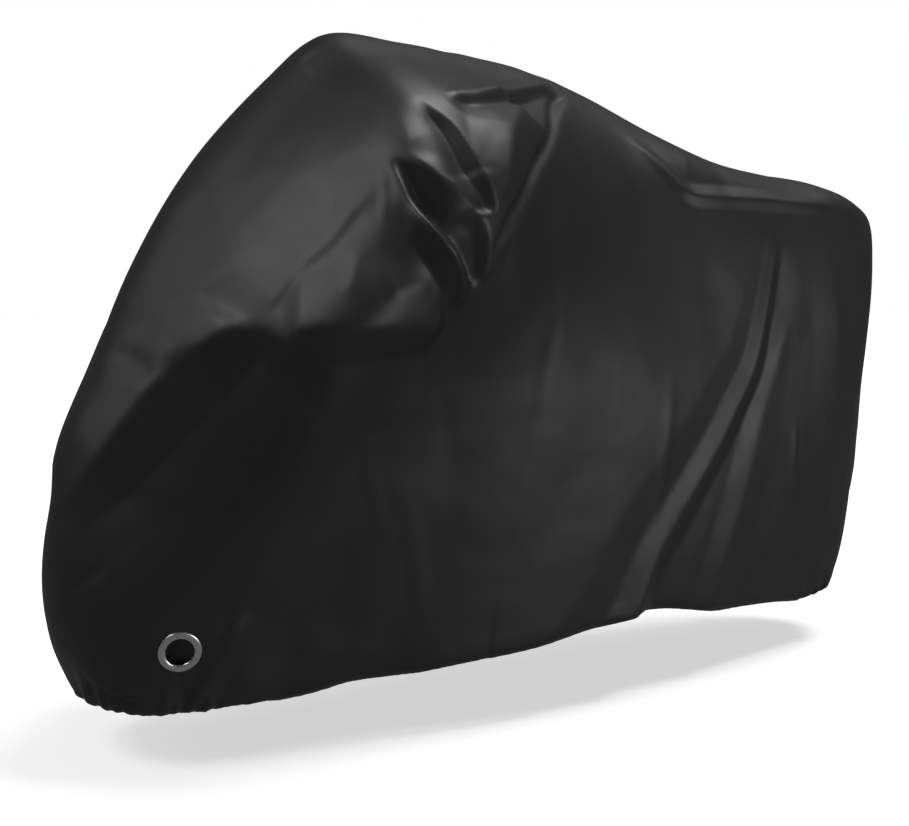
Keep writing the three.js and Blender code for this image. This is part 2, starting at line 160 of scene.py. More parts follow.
def fold_rise(points, path, fade, size, rounding, corners):
    """How far one fold moves each point of the plain surface outwards.

    A fold that starts gradually and does not fade out runs on past its path, over the hem.
    """
    runs_on = fade[0] > 0 and fade[1] == 0
    share = np.linspace(0, 1, FOLD_POINTS)
    pairs = smooth_rows(path, share * (len(path) - 1))
    line = surface_points(pairs)
    outward = surface_normals(pairs)
    reach = max(size) * (max(abs(offset) for offset, height in corners) + 4 * rounding)
    inside = (points > line.min(0) - reach) & (points < line.max(0) + reach)
    near = np.nonzero(inside.all(1))[0]
    p = points[near]
    best = np.full(len(near), np.inf)
    at = np.zeros(len(near))
    aside = np.zeros((len(near), 3))
    leftward = np.zeros((len(near), 3))
    for k in range(len(line) - 1):
        step = line[k + 1] - line[k]
        furthest = np.inf if runs_on and k == len(line) - 2 else 1
        u = np.clip((p - line[k]) @ step / (step @ step), 0, furthest)
        off = p - line[k] - u[:, None] * step
        gap = np.linalg.norm(off, axis=1)
        closer = gap < best
        best[closer] = gap[closer]
        at[closer] = share[k] + u[closer] * (share[k + 1] - share[k])
        aside[closer] = off[closer]
        leftward[closer] = np.cross(outward[k] + outward[k + 1], step)
    scale = smooth_rows(np.reshape(size, (3, 1)), at * 2)[:, 0]
    across = np.where(np.einsum("ij,ij->i", leftward, aside) > 0, best, -best) / scale
    strength = scale * soft_step(at, fade[0]) * soft_step(1 - at, fade[1])
    moved = np.zeros(len(points))
    moved[near] = cross_section(across, corners, rounding / scale) * strength
    return moved


# The photograph's viewpoint: its place in millimetres, its turn and dip, and its focal length and
# size in pixels.
VIEW_PLACE = np.array([-1051.6, -2357.9, 830.0])
VIEW_TURN, VIEW_DIP = math.radians(34.35), math.radians(5.22)
FOCAL_PIXELS = 1423
PHOTO_WIDTH, PHOTO_HEIGHT = 909, 826

view_ahead = np.array([
    math.sin(VIEW_TURN) * math.cos(VIEW_DIP),
    math.cos(VIEW_TURN) * math.cos(VIEW_DIP),
    -math.sin(VIEW_DIP),
])
view_right = np.array([math.cos(VIEW_TURN), -math.sin(VIEW_TURN), 0])
view_up = np.cross(view_right, view_ahead)


def places_on_photo(points):
    """The pixels of the photograph at which points show."""
    lines = points - VIEW_PLACE
    scale = FOCAL_PIXELS / (lines @ view_ahead)
    columns = PHOTO_WIDTH / 2 + lines @ view_right * scale
    rows = PHOTO_HEIGHT / 2 - lines @ view_up * scale
    return np.column_stack([columns, rows])


# The folds that the photograph shows. Columns: name; path, through points given on the
# photograph, in its pixels; shares of the path over which the fold starts and ends; its size at the
# path's start, middle and end; the rounding of its corners in mm; and its cross-section, as corners
# at an offset to the left of the path, seen from outside, and a height, in mm.
SEEN_FOLDS = [
    # The bulge of the shoulder and the creases that run over the hood to it.
    ("shoulder point", [(388, 156), (388, 162)],
     (0, 0), (1, 1, 1), 30, [(105, 0), (0, 14), (-105, 0)]),
    ("crest dent", [(300, 60), (318, 72), (350, 96)],
     (0.1, 0.5), (0.8, 1, 0.7), 8, [(70, 0), (0, -5), (-22, 2), (-70, 0)]),
    ("crease across the top", [(444, 98), (462, 102), (490, 104), (520, 103), (545, 96), (556, 89)],
     (0.2, 0.2), (0.3, 1, 0.5), 2.5, [(80, 0), (24, 11), (0, -11), (-70, 0)]),
    ("curved band",
     [(415, 97), (430, 113), (447, 130), (460, 151), (472, 175), (482, 195), (488, 218)],
     (0.25, 0.08), (0.4, 1, 0.8), 2.5, [(60, 0), (19, 4), (0, -16), (-95, 0)]),
    ("triangle edge", [(519, 106), (508, 135), (502, 170), (495, 212)],
     (0.1, 0.3), (1, 1, 0.5), 4, [(70, 0), (0, 20), (-84, 0)]),
    ("taut line",
     [(559, 92), (546, 126), (530, 161), (517, 190), (505, 212), (494, 236), (486, 258)],
     (0.05, 0.35), (0.8, 1, 0.6), 2, [(90, 0), (36, 4), (11, -7), (0, 7), (-90, 0)]),
    ("upper pocket",
     [(392, 160), (408, 181), (421, 201), (441, 226), (461, 252), (469, 274), (471, 291)],
     (0.15, 0.1), (0.25, 1.05, 0.3), 2.5, [(165, 0), (70, 9), (0, -32), (-19, 6), (-90, 0)]),
    ("lower pocket", [(401, 198), (407, 227), (420, 253), (433, 277), (443, 300), (449, 320)],
     (0.2, 0.1), (0.3, 1, 0.5), 2.5, [(110, 0), (46, 17), (0, -9), (-70, 0)]),
    ("slanting crease", [(380, 188), (352, 215), (330, 243), (300, 270), (275, 300), (264, 313)],
     (0.25, 0.2), (1, 1, 1), 5, [(60, 0), (10, -1.6), (0, 1.2), (-40, 0)]),
    ("upright crease", [(384, 170), (384, 227)],
     (0.3, 0.3), (1, 1, 1), 2, [(9, 0), (0, 2), (-9, 0)]),
    ("short upright ridge", [(360, 247), (355, 272), (350, 303)],
     (0.3, 0.3), (1, 1, 1), 5, [(20, 0), (0, 3), (-20, 0)]),
    ("short level ridge", [(380, 292), (405, 289), (434, 289)],
     (0.3, 0.3), (1, 1, 1), 6, [(20, 0), (0, 3), (-24, 0)]),
    ("shoulder edge", [(284, 334), (315, 331), (350, 328), (390, 327), (420, 326), (449, 324)],
     (0.12, 0.12), (1, 1, 1), 5, [(110, 0), (0, 14), (-62, -6), (-160, 0)]),
    # The long slope down the nose, and the creases above and below it.
    ("nose slope",
     [(272, 330), (258, 350), (235, 375), (205, 405), (180, 430), (148, 465), (108, 508), (62, 556)],
     (0.2, 0.22), (0.6, 1, 0.75), 9, [(240, 0), (85, -25), (0, -28), (-84, 14), (-230, 0)]),
    ("nose notch", [(104, 358), (122, 360), (142, 370), (165, 386)],
     (0.35, 0.3), (0.8, 1, 1), 3, [(34, 0), (0, -6), (-26, 0)]),
    ("notch branch", [(200, 352), (182, 368), (163, 385)],
     (0.3, 0.3), (1, 1, 1), 5, [(40, 0), (0, -5), (-34, 0)]),
    ("upper nose line", [(118, 321), (140, 317), (170, 306), (200, 291), (230, 270), (262, 252)],
     (0.3, 0.4), (1, 1, 1), 12, [(60, 0), (0, 3), (-20, -2), (-100, 0)]),
    ("low nose crease", [(60, 597), (84, 582), (114, 563)],
     (0.3, 0.4), (1, 1, 1), 3, [(16, 0), (0, -3), (-16, 0)]),
    ("front hanging fold", [(345, 330), (280, 421), (216, 500), (180, 571), (164, 640)],
     (0.2, 0.5), (1, 1, 1), 25, [(75, 0), (0, -13), (-75, 0)]),
    ("front hanging ridge", [(350, 345), (309, 450), (280, 536), (244, 607), (214, 690)],
     (0.3, 0.3), (1, 1, 1), 20, [(60, 0), (0, 5), (-60, 0)]),
    ("second hanging fold", [(388, 352), (344, 479), (309, 554), (280, 680)],
     (0.2, 0), (1, 1, 1), 22, [(60, 0), (0, -8), (-60, 0)]),
    ("second hanging ridge", [(430, 345), (400, 470), (370, 580), (350, 670)],
     (0.2, 0.1), (1, 1, 1), 24, [(80, 0), (0, 6), (-80, 0)]),
    ("ridge to the front hem", [(253, 608), (230, 639), (210, 671), (198, 710)],
     (0.3, 0.1), (1, 1, 1), 6, [(26, 0), (0, 8), (-20, -2), (-40, 0)]),
    ("crumple at the front hem", [(76, 676), (100, 690), (123, 701), (147, 707)],
     (0.3, 0.3), (1, 1, 1), 3, [(26, 0), (9, 5), (0, -7), (-22, 0)]),
    # The folds that hang at the back.
    ("back band",
     [(779, 238), (773, 263), (765, 313), (754, 366), (734, 412),
      (713, 455), (681, 512), (656, 558), (632, 620)],
     (0.2, 0), (0.4, 0.95, 1.4), 3,
     [(170, 0), (96, -4), (46, -9), (0, 8), (-46, -3), (-115, 3), (-230, 0)]),
    ("second back band",
     [(800, 255), (793, 309), (781, 345), (766, 400), (754, 450), (741, 500), (722, 560), (711, 612)],
     (0.25, 0), (0.6, 1, 1.2), 9, [(70, 0), (0, 6), (-50, -2), (-70, 0)]),
    ("corner ridge", [(826, 248), (835, 300), (837, 350), (836, 400), (834, 440)],
     (0.4, 0.3), (1, 1, 1), 9, [(46, 0), (0, 6), (-90, 0)]),
    ("short back streak", [(796, 418), (796, 455), (797, 480), (800, 516)],
     (0.3, 0.3), (1, 1, 1), 3, [(16, 0), (7, -3), (0, 5), (-22, 0)]),
    ("long back streak", [(822, 408), (829, 440), (832, 480), (828, 520)],
     (0.3, 0.3), (1, 1, 1), 5, [(30, 0), (12, -3), (0, 4), (-50, 0)]),
    # The edge of the low back, in one line with its corner.
    ("low back edge",
     [(620, 134), (640, 149), (662, 169), (684, 191), (700, 198),
      (730, 200), (765, 202), (805, 206), (850, 210)],
     (0.2, 0.15), (0.6, 1, 1), 3,
     [(110, 0), (34, -5), (0, 8), (-26, 0), (-60, 0)]),
]

# Folds of the same kind on the far side, which the photograph doesn't show. They follow the near
# side's, but are plainer. Here the path's points are section and span.
FAR_FOLDS = [
    ("far shoulder point", [(7.2, 8.2), (7.25, 8.25)],
     (0, 0), (1, 1, 1), 26, [(105, 0), (0, 18), (-105, 0)]),
    ("far taut line", [(11.2, 7), (10.2, 8.3), (9.2, 9), (8.4, 9.4)],
     (0.2, 0.2), (0.5, 1, 0.6), 3, [(60, 0), (0, 10), (-24, -4), (-70, 0)]),
    ("far pocket", [(7.4, 8.4), (8, 8.7), (8.4, 9.1), (8.3, 9.4)],
     (0.3, 0.2), (0.3, 1, 0.4), 3, [(180, 0), (0, -34), (-66, 5), (-100, 0)]),
    ("far shoulder edge", [(5.4, 8.5), (5.8, 8.8), (6.5, 9.2), (7.9, 9.6)],
     (0.1, 0.1), (1, 1, 1), 4, [(150, 0), (60, -5), (0, 16), (-100, 0)]),
    ("far nose slope", [(5.4, 8.5), (4.5, 8.3), (3.6, 8.1), (2.8, 7.5), (2.3, 6.7)],
     (0.25, 0.4), (0.6, 1, 1), 9, [(210, 0), (80, 15), (0, -27), (-150, 0)]),
    ("far hanging fold", [(5.7, 9.1), (4.6, 9.2), (3.4, 9.1), (2.2, 9.3)],
     (0.2, 0.5), (1, 1, 1), 22, [(75, 0), (0, -13), (-75, 0)]),
    ("far back band", [(15, 8.3), (14.4, 9.2), (13.5, 10.3), (12.9, 12)],
     (0.25, 0), (0.5, 1, 1.4), 3, [(120, 0), (56, -4), (0, 9), (-38, -7), (-120, 0)]),
    ("second far back band", [(15.6, 8.5), (15.2, 9.6), (14.6, 10.9), (14.3, 12)],
     (0.25, 0), (0.6, 1, 1.3), 6, [(70, 0), (50, -2), (0, 7), (-70, 0)]),
    ("far low back edge", [(13, 8.1), (14.3, 7.7), (15.6, 7.45), (16.9, 7.25)],
     (0.1, 0.15), (1, 1, 1), 3, [(55, 0), (0, 8), (-34, -4), (-90, 0)]),
]

# The seats of the two eyelets, as section and span of the plain surface. Round each one the
# cloth lies flat, and it blends into its folds further out.
EYELET_SEATS = {"left": (1.76, 2.44), "right": (1.76, 9.56)}
FLAT_RADIUS = 44.0
BLEND_RADIUS = 92.0
CLOTH_HOLE = 27.5

# Steps of the mesh between sections, and between levels on the left and on the right side. They
# are closer along the hem. All are even, as the inner face has every second line.
SECTION_STEPS = [
    12, 12, 14, 14, 14, 16, 20, 26, 24, 18, 14, 14,
    16, 24, 26, 22, 16, 14, 12, 12, 12, 10, 12,
]
LEFT_STEPS = [18, 18, 40, 42, 28, 12]
RIGHT_STEPS = [12, 10, 10, 10, 8, 6]

# How much closer the lines are at the nose's and tail's hem, and at the hem of the sides. And the
# reach in mm over which the directions are evened in which folds move the cloth.
END_CLOSENESS = 1.6
SIDE_CLOSENESS = 1.7
EVENED_OVER = 45


def mesh_lines(steps, closeness):
    """Indices of mesh lines, closer together towards the first and the last of all."""
    lines = [0.0]
    for unit, count in enumerate(steps):
        for k in range(1, count + 1):
            t = k / count
            if unit == 0:
                t = t ** closeness
            if unit == len(steps) - 1:
                t = 1 - (1 - t) ** closeness
            lines.append(unit + t)
    return np.array(lines)


section_lines = mesh_lines(SECTION_STEPS, END_CLOSENESS)
span_lines = mesh_lines(LEFT_STEPS + RIGHT_STEPS[::-1], SIDE_CLOSENESS)
plain = plain_surface(section_lines, span_lines)
outward = evened_normals(plain, EVENED_OVER)
shape = plain.shape[:2]
flat_points = plain.reshape(-1, 3)
facing_view = np.einsum("ij,ij->i", flat_points - VIEW_PLACE, grid_normals(plain).reshape(-1, 3)) < 0
points_on_photo = np.where(facing_view[:, None], places_on_photo(flat_points), np.inf)


def places_seen(pixels):
    """Section and span of the plain hood's points that the photograph shows at the given pixels.

    Each search starts at the nearest point of the grid and goes on in ever smaller steps.
    """
    found = []
    for pixel in pixels:
        start = np.linalg.norm(points_on_photo - pixel, axis=1).argmin()
        row, column = divmod(start, shape[1])
        place = np.array([section_lines[row], span_lines[column]])
        for step in (0.04, 0.02, 0.01, 0.005):
            around = [place + (i * step, j * step) for i in (-1, 0, 1) for j in (-1, 0, 1)]
            misses = np.linalg.norm(places_on_photo(surface_points(around)) - pixel, axis=1)
            place = around[misses.argmin()]
        found.append(place)
    return found


rises = np.zeros(len(flat_points))
for name, pixels, *form in SEEN_FOLDS:
    rises += fold_rise(flat_points, places_seen(pixels), *form)
for name, path, *form in FAR_FOLDS:
    rises += fold_rise(flat_points, path, *form)

# Slack in the cloth: shallow folds and hollows of 1 to 3 mm that run upwards, unevenly spread.
SLACK_FOLDS = 90

slack = np.random.default_rng(5)
for _ in range(SLACK_FOLDS):
    section, span = slack.uniform(1, 22), slack.uniform(0.2, 11)
    lean, length = slack.uniform(-0.8, 0.8), slack.uniform(0.8, 2)
    halfway = (section + lean * 0.4, span + length * 0.5)
    path = [(section, span), halfway, (section + lean, span + length)]
    width = slack.uniform(22, 60)
    height = slack.choice([-1, 1]) * slack.uniform(1, 2.6)
    corners = [(width, 0), (0, height), (-width * slack.uniform(0.6, 1.6), 0)]
    rises += fold_rise(flat_points, path, (0.4, 0.4), (1, 1, 1), width * 0.2, corners)
draped = plain + outward * rises.reshape(shape)[..., None]

seats = {
    side: (surface_points([place])[0], surface_normals([place])[0])
    for side, place in EYELET_SEATS.items()
}
for middle, normal in seats.values():
    further = np.linalg.norm(draped - middle, axis=2) - FLAT_RADIUS
    flatness = 1 - soft_step(further, BLEND_RADIUS - FLAT_RADIUS)
    height = (draped - middle) @ normal
    draped -= (height * flatness)[..., None] * normal

# The hem: the last 20 mm of the cloth are turned under round a thin elastic, which gathers the
# cloth into small pleats round the nose and round the tail and lies smooth along the sides.
HEM_WIDTH = 20.0
HEM_TUCK = 9.0
HEM_GROOVE = 1.2
GROOVE_WIDTH = 5.0
PLEAT_PITCH = 17.0
NOSE_GATHER = {"until": 40, "over": 90}
TAIL_GATHER = {"from": 1395, "over": 45}
LEAST_GATHER = 0.12
EDGE_STEP = 2.0
HEM_EVENED_OVER = 24


def closed_length(loop):
    """Running length along a closed loop of points, from 0 to the whole length."""
    steps = np.linalg.norm(np.diff(loop, axis=0, append=loop[:1]), axis=1)
    return np.concatenate([[0], np.cumsum(steps)])


edge = np.concatenate([draped[0, :-1], draped[:-1, -1], draped[-1, :0:-1], draped[:0:-1, 0]])
edge_length = closed_length(edge)
edge_at = np.arange(0, edge_length[-1], EDGE_STEP)
closed_edge = np.vstack([edge, edge[:1]])
edge_points = np.column_stack([np.interp(edge_at, edge_length, closed_edge[:, k]) for k in range(3)])
tree = KDTree(len(edge_points))
for k, point in enumerate(edge_points):
    tree.insert(point, k)
tree.balance()
nearest = [tree.find(point) for point in draped.reshape(-1, 3)]
hem_gap = np.array([found[2] for found in nearest]).reshape(shape)
hem_at = np.array([edge_at[found[1]] for found in nearest]).reshape(shape)

edge_x = edge_points[:, 0]
gathering = soft_step(NOSE_GATHER["until"] - edge_x, NOSE_GATHER["over"])
gathering += soft_step(edge_x - TAIL_GATHER["from"], TAIL_GATHER["over"])
pleats = np.random.default_rng(8)
pleat_rise = np.zeros(shape)
middle_at = 0.0
while middle_at < edge_length[-1] - PLEAT_PITCH:
    middle_at += PLEAT_PITCH * pleats.uniform(0.6, 1.5)
    size = LEAST_GATHER + (1 - LEAST_GATHER) * np.interp(middle_at, edge_at, gathering)
    height = size * pleats.uniform(1.6, 4.6) * pleats.choice([-1, 1])
    width = pleats.uniform(4, 8)
    reach = size * pleats.uniform(30, 95)
    slant = pleats.uniform(-0.35, 0.35)
    offset = hem_at - middle_at - slant * hem_gap
    fan = width * (1 + hem_gap / 60)
    pleat_rise += height * np.exp(-((offset / fan) ** 2)) * np.exp(-((hem_gap / reach) ** 2))
tuck = -HEM_TUCK * np.clip(1 - hem_gap / HEM_WIDTH, 0, 1) ** 2.2
groove = -HEM_GROOVE * np.exp(-(((hem_gap - HEM_WIDTH) / GROOVE_WIDTH) ** 2))
draped += evened_normals(draped, HEM_EVENED_OVER) * (tuck + groove + pleat_rise)[..., None]


# How much deeper the inner face may lie where its coarser steps would come near the outer face.
MOST_EXTRA_DEPTH = 3


def cloth_shell(outer, thickness, holes, hole_radius):
    """A closed shell under a grid of points: the outer face on every line, the inner face on
    every second one, and a rim along the hem and round each hole. Also each vertex's grid
    indices, for the cloth's own coordinates."""
    rows, columns = outer.shape[:2]
    outer = outer.copy()
    normals = grid_normals(outer)
    depth = np.full((rows, columns), thickness)
    for axis, length in ((0, rows), (1, columns)):
        before, here, after = (
            np.take(outer, np.arange(1 + k, length - 1 + k, 2), axis) for k in (-1, 0, 1)
        )
        here_normals = np.take(normals, np.arange(1, length - 1, 2), axis)
        over = np.einsum("ijk,ijk->ij", (before + after) / 2 - here, here_normals)
        for k in (0, 2):
            index = np.arange(k, length - 2 + k, 2)
            current = np.take(depth, index, axis)
            deeper = np.maximum(current, thickness + np.clip(over, 0, MOST_EXTRA_DEPTH))
            if axis == 0:
                depth[index] = deeper
            else:
                depth[:, index] = deeper
    centres = outer[1::2, 1::2]
    kept = np.ones(centres.shape[:2], bool)
    snapped = np.zeros((rows, columns), bool)
    for middle, normal in holes:
        inside = np.linalg.norm(centres - middle, axis=2) < hole_radius
        kept &= ~inside
        for i, j in np.argwhere(inside):
            snapped[2 * i : 2 * i + 3, 2 * j : 2 * j + 3] = True
    used = np.zeros((rows, columns), bool)
    for i, j in np.argwhere(kept):
        used[2 * i : 2 * i + 3, 2 * j : 2 * j + 3] = True
    for i, j in np.argwhere(snapped & used):
        middle, normal = min(holes, key=lambda hole: np.linalg.norm(outer[i, j] - hole[0]))
        away = outer[i, j] - middle
        away -= (away @ normal) * normal
        outer[i, j] = middle + away * hole_radius / np.linalg.norm(away)
    inner = outer - normals * depth[..., None]

    vertices, grid_index = [], []
    top = -np.ones((rows, columns), int)
    for i, j in np.argwhere(used):
        top[i, j] = len(vertices)
        vertices.append(outer[i, j])
        grid_index.append((i, j))
    under = -np.ones((rows, columns), int)
    for i, j in np.argwhere(used):
        if i % 2 == 0 and j % 2 == 0:
            under[i, j] = len(vertices)
            vertices.append(inner[i, j])
            grid_index.append((i, j))
    faces = []
    for i, j in np.argwhere(kept):
        a, b = 2 * i, 2 * j
        for p in (a, a + 1):
            for q in (b, b + 1):
                faces.append((top[p, q], top[p + 1, q], top[p + 1, q + 1], top[p, q + 1]))
        faces.append((under[a, b], under[a, b + 2], under[a + 2, b + 2], under[a + 2, b]))
        sides = (
            ((i - 1, j), (a, b + 2), (a, b + 1), (a, b)),
            ((i, j + 1), (a + 2, b + 2), (a + 1, b + 2), (a, b + 2)),
            ((i + 1, j), (a + 2, b), (a + 2, b + 1), (a + 2, b + 2)),
            ((i, j - 1), (a, b), (a + 1, b), (a + 2, b)),
        )
        for (m, n), first, half, last in sides:
            beside = 0 <= m < kept.shape[0] and 0 <= n < kept.shape[1] and kept[m, n]
            if not beside:
                faces.append((under[last], under[first], top[first], top[half], top[last]))
    return np.array(vertices), faces, np.array(grid_index)


def to_row(points):
    """Points in the row frame, in metres."""
    return (np.asarray(points) - CREST + (0, 0, CLOTH)) / 1000


def new_piece(name, vertices, faces, material):
    """A smooth-shaded mesh object from points in the row frame."""
    mesh = bpy.data.meshes.new(name)
    corners = [tuple(map(float, vertex)) for vertex in vertices]
    mesh.from_pydata(corners, [], [tuple(map(int, face)) for face in faces])
    mesh.polygons.foreach_set("use_smooth", [True] * len(mesh.polygons))
    mesh.materials.append(material)
    mesh.update()
    piece = bpy.data.objects.new(name, mesh)
    bpy.context.scene.collection.objects.link(piece)
    return piece


cover_cloth = bpy.data.materials.new("hood_cloth")
cover_cloth.use_nodes = True
vertices, faces, grid_index = cloth_shell(draped, CLOTH, list(seats.values()), CLOTH_HOLE)
hood = new_piece("cover_hood", to_row(vertices), faces, cover_cloth)

# The cloth's own coordinates: metres along the hood, measured on a line along its left side, and
# metres across it from the centre line, so that the weave keeps about its size and follows the drape.
SIDE_SPAN = 3.0

across_steps = np.linalg.norm(np.diff(plain, axis=1), axis=2)
across = np.hstack([np.zeros((shape[0], 1)), np.cumsum(across_steps, axis=1)])
across -= across[:, [int(np.searchsorted(span_lines, HEM_SPAN / 2))]]
side_line = plain[:, int(np.searchsorted(span_lines, SIDE_SPAN))]
along = np.concatenate([[0], np.cumsum(np.linalg.norm(np.diff(side_line, axis=0), axis=1))])
u = np.broadcast_to(along[:, None], shape)[tuple(grid_index.T)] / 1000
v = across[tuple(grid_index.T)] / 1000
uv_map = hood.data.uv_layers.new(name="cloth")
loop_vertex = np.zeros(len(hood.data.loops), int)
hood.data.loops.foreach_get("vertex_index", loop_vertex)
uv_map.data.foreach_set("uv", np.column_stack([u[loop_vertex], v[loop_vertex]]).ravel())
hem_distance = hood.data.attributes.new("hem_distance", "FLOAT", "POINT")
hem_distance.data.foreach_set("value", hem_gap[tuple(grid_index.T)] / 1000)


def add_node(tree, kind, **settings):
    """A new node in a tree, with settings on the node and, for names that it has, on its inputs."""
    node = tree.nodes.new(kind)
    for name, value in settings.items():
        socket = next((i for i in node.inputs if i.name.replace(" ", "_").lower() == name), None)
        if socket is None:
            setattr(node, name, value)
        else:
            socket.default_value = value
    return node


def new_group(name, inputs, outputs):
    """A shader node group with float inputs, one vector input called Place, and float outputs."""
    tree = bpy.data.node_groups.new(name, "ShaderNodeTree")
    tree.interface.new_socket("Place", in_out="INPUT", socket_type="NodeSocketVector")
    for label, value in inputs.items():
        socket = tree.interface.new_socket(label, in_out="INPUT", socket_type="NodeSocketFloat")
        socket.default_value = value
    for label in outputs:
        tree.interface.new_socket(label, in_out="OUTPUT", socket_type="NodeSocketFloat")
    return tree, tree.nodes.new("NodeGroupInput"), tree.nodes.new("NodeGroupOutput")


def place_group(tree, group, place, **values):
    """A group's node in a material, fed with a place and with its own values."""
    node = tree.nodes.new("ShaderNodeGroup")
    node.node_tree = group
    tree.links.new(place, node.inputs["Place"])
    for name, value in values.items():
        node.inputs[name.replace("_", " ").title()].default_value = value
    return node


# Cloudy variation between two values, in patches of about one over the scale in metres.
cloudy_inputs = {"Scale": 8, "Detail": 4, "Low": 0, "High": 1}
cloudy, cloudy_in, cloudy_out = new_group("cloudy", cloudy_inputs, ["Value"])
clouds = add_node(cloudy, "ShaderNodeTexNoise", roughness=0.55)
spread = add_node(cloudy, "ShaderNodeMapRange", from_min=0.3, from_max=0.7)
cloudy.links.new(cloudy_in.outputs["Place"], clouds.inputs["Vector"])
cloudy.links.new(cloudy_in.outputs["Scale"], clouds.inputs["Scale"])
cloudy.links.new(cloudy_in.outputs["Detail"], clouds.inputs["Detail"])
cloudy.links.new(clouds.outputs["Fac"], spread.inputs["Value"])
cloudy.links.new(cloudy_in.outputs["Low"], spread.inputs["To Min"])
cloudy.links.new(cloudy_in.outputs["High"], spread.inputs["To Max"])
cloudy.links.new(spread.outputs["Result"], cloudy_out.inputs["Value"])

# Fine lines that run mostly one way, such as scuffs in a coating or scratches in polished metal.
scuffs_inputs = {"Scale": 60, "Stretch": 12, "Amount": 0.5}
scuffs, scuffs_in, scuffs_out = new_group("scuffs", scuffs_inputs, ["Mask"])
stretch = add_node(scuffs, "ShaderNodeCombineXYZ", y=1.0, z=1.0)
drawn_out = add_node(scuffs, "ShaderNodeVectorMath", operation="MULTIPLY")
lines = add_node(scuffs, "ShaderNodeTexNoise", detail=3.0, roughness=0.6, distortion=0.4)
only_high = add_node(scuffs, "ShaderNodeMapRange", from_min=0.58, from_max=0.74)
weaker = add_node(scuffs, "ShaderNodeMath", operation="MULTIPLY")
scuffs.links.new(scuffs_in.outputs["Stretch"], stretch.inputs["X"])
scuffs.links.new(scuffs_in.outputs["Place"], drawn_out.inputs[0])
scuffs.links.new(stretch.outputs["Vector"], drawn_out.inputs[1])
scuffs.links.new(drawn_out.outputs["Vector"], lines.inputs["Vector"])
scuffs.links.new(scuffs_in.outputs["Scale"], lines.inputs["Scale"])
scuffs.links.new(lines.outputs["Fac"], only_high.inputs["Value"])
scuffs.links.new(only_high.outputs["Result"], weaker.inputs[0])
scuffs.links.new(scuffs_in.outputs["Amount"], weaker.inputs[1])
scuffs.links.new(weaker.outputs["Value"], scuffs_out.inputs["Mask"])

# A plain weave, as the height of warp and weft that cross at the pitch in metres.
weave, weave_in, weave_out = new_group("plain_weave", {"Pitch": 0.0007}, ["Height"])
turns = add_node(weave, "ShaderNodeMath", operation="DIVIDE")
turns.inputs[0].default_value = math.pi
in_turns = add_node(weave, "ShaderNodeVectorMath", operation="SCALE")
split = add_node(weave, "ShaderNodeSeparateXYZ")
weave.links.new(weave_in.outputs["Pitch"], turns.inputs[1])
weave.links.new(weave_in.outputs["Place"], in_turns.inputs[0])
weave.links.new(turns.outputs["Value"], in_turns.inputs["Scale"])
weave.links.new(in_turns.outputs["Vector"], split.inputs["Vector"])
waves = []
for axis in ("X", "Y"):
    wave = add_node(weave, "ShaderNodeMath", operation="SINE")
    weave.links.new(split.outputs[axis], wave.inputs[0])
    waves.append(wave)
crossing = add_node(weave, "ShaderNodeMath", operation="MULTIPLY")
weave.links.new(waves[0].outputs["Value"], crossing.inputs[0])
weave.links.new(waves[1].outputs["Value"], crossing.inputs[1])
weave.links.new(crossing.outputs["Value"], weave_out.inputs["Height"])

# The cloth: near-black and evenly coated, a little duller and greyer in patches and towards the hem
# where it is handled, with the weave just felt through the coating and small soft crumples.
cloth_tree = cover_cloth.node_tree
shader = cloth_tree.nodes["Principled BSDF"]
shader.inputs["Specular IOR Level"].default_value = 0.5
on_cloth = add_node(cloth_tree, "ShaderNodeUVMap", uv_map="cloth").outputs["UV"]
in_space = add_node(cloth_tree, "ShaderNodeTexCoord").outputs["Object"]
tone = place_group(cloth_tree, cloudy, in_space, scale=5.0, low=0.0, high=0.55)
handled = add_node(cloth_tree, "ShaderNodeAttribute", attribute_name="hem_distance")
near_hem = add_node(cloth_tree, "ShaderNodeMapRange", from_min=0.14, from_max=0.0, to_max=0.45)
either_wear = add_node(cloth_tree, "ShaderNodeMath", operation="ADD", use_clamp=True)
colour = add_node(cloth_tree, "ShaderNodeMix", data_type="RGBA")
colour.inputs["A"].default_value = (0.0088, 0.0088, 0.0096, 1)
colour.inputs["B"].default_value = (0.0135, 0.0135, 0.0142, 1)
cloth_tree.links.new(handled.outputs["Fac"], near_hem.inputs["Value"])
cloth_tree.links.new(tone.outputs["Value"], either_wear.inputs[0])
cloth_tree.links.new(near_hem.outputs["Result"], either_wear.inputs[1])
cloth_tree.links.new(either_wear.outputs["Value"], colour.inputs["Factor"])
cloth_tree.links.new(colour.outputs["Result"], shader.inputs["Base Color"])

gloss = place_group(cloth_tree, cloudy, in_space, scale=9.0, low=0.43, high=0.49)
rubbed = place_group(cloth_tree, scuffs, in_space, scale=14.0, stretch=4.0, amount=0.04)
dulled = add_node(cloth_tree, "ShaderNodeMath", operation="ADD")
cloth_tree.links.new(gloss.outputs["Value"], dulled.inputs[0])
cloth_tree.links.new(rubbed.outputs["Mask"], dulled.inputs[1])
cloth_tree.links.new(dulled.outputs["Value"], shader.inputs["Roughness"])

crumples = place_group(cloth_tree, cloudy, in_space, scale=8.0, detail=1.5, low=-1.0, high=1.0)
crumple_bump = add_node(cloth_tree, "ShaderNodeBump", strength=0.5, distance=0.0012)
cloth_tree.links.new(crumples.outputs["Value"], crumple_bump.inputs["Height"])
threads = place_group(cloth_tree, weave, on_cloth, pitch=0.0007)
thread_bump = add_node(cloth_tree, "ShaderNodeBump", strength=0.2, distance=0.00003)
cloth_tree.links.new(threads.outputs["Height"], thread_bump.inputs["Height"])
cloth_tree.links.new(crumple_bump.outputs["Normal"], thread_bump.inputs["Normal"])
cloth_tree.links.new(thread_bump.outputs["Normal"], shader.inputs["Normal"])

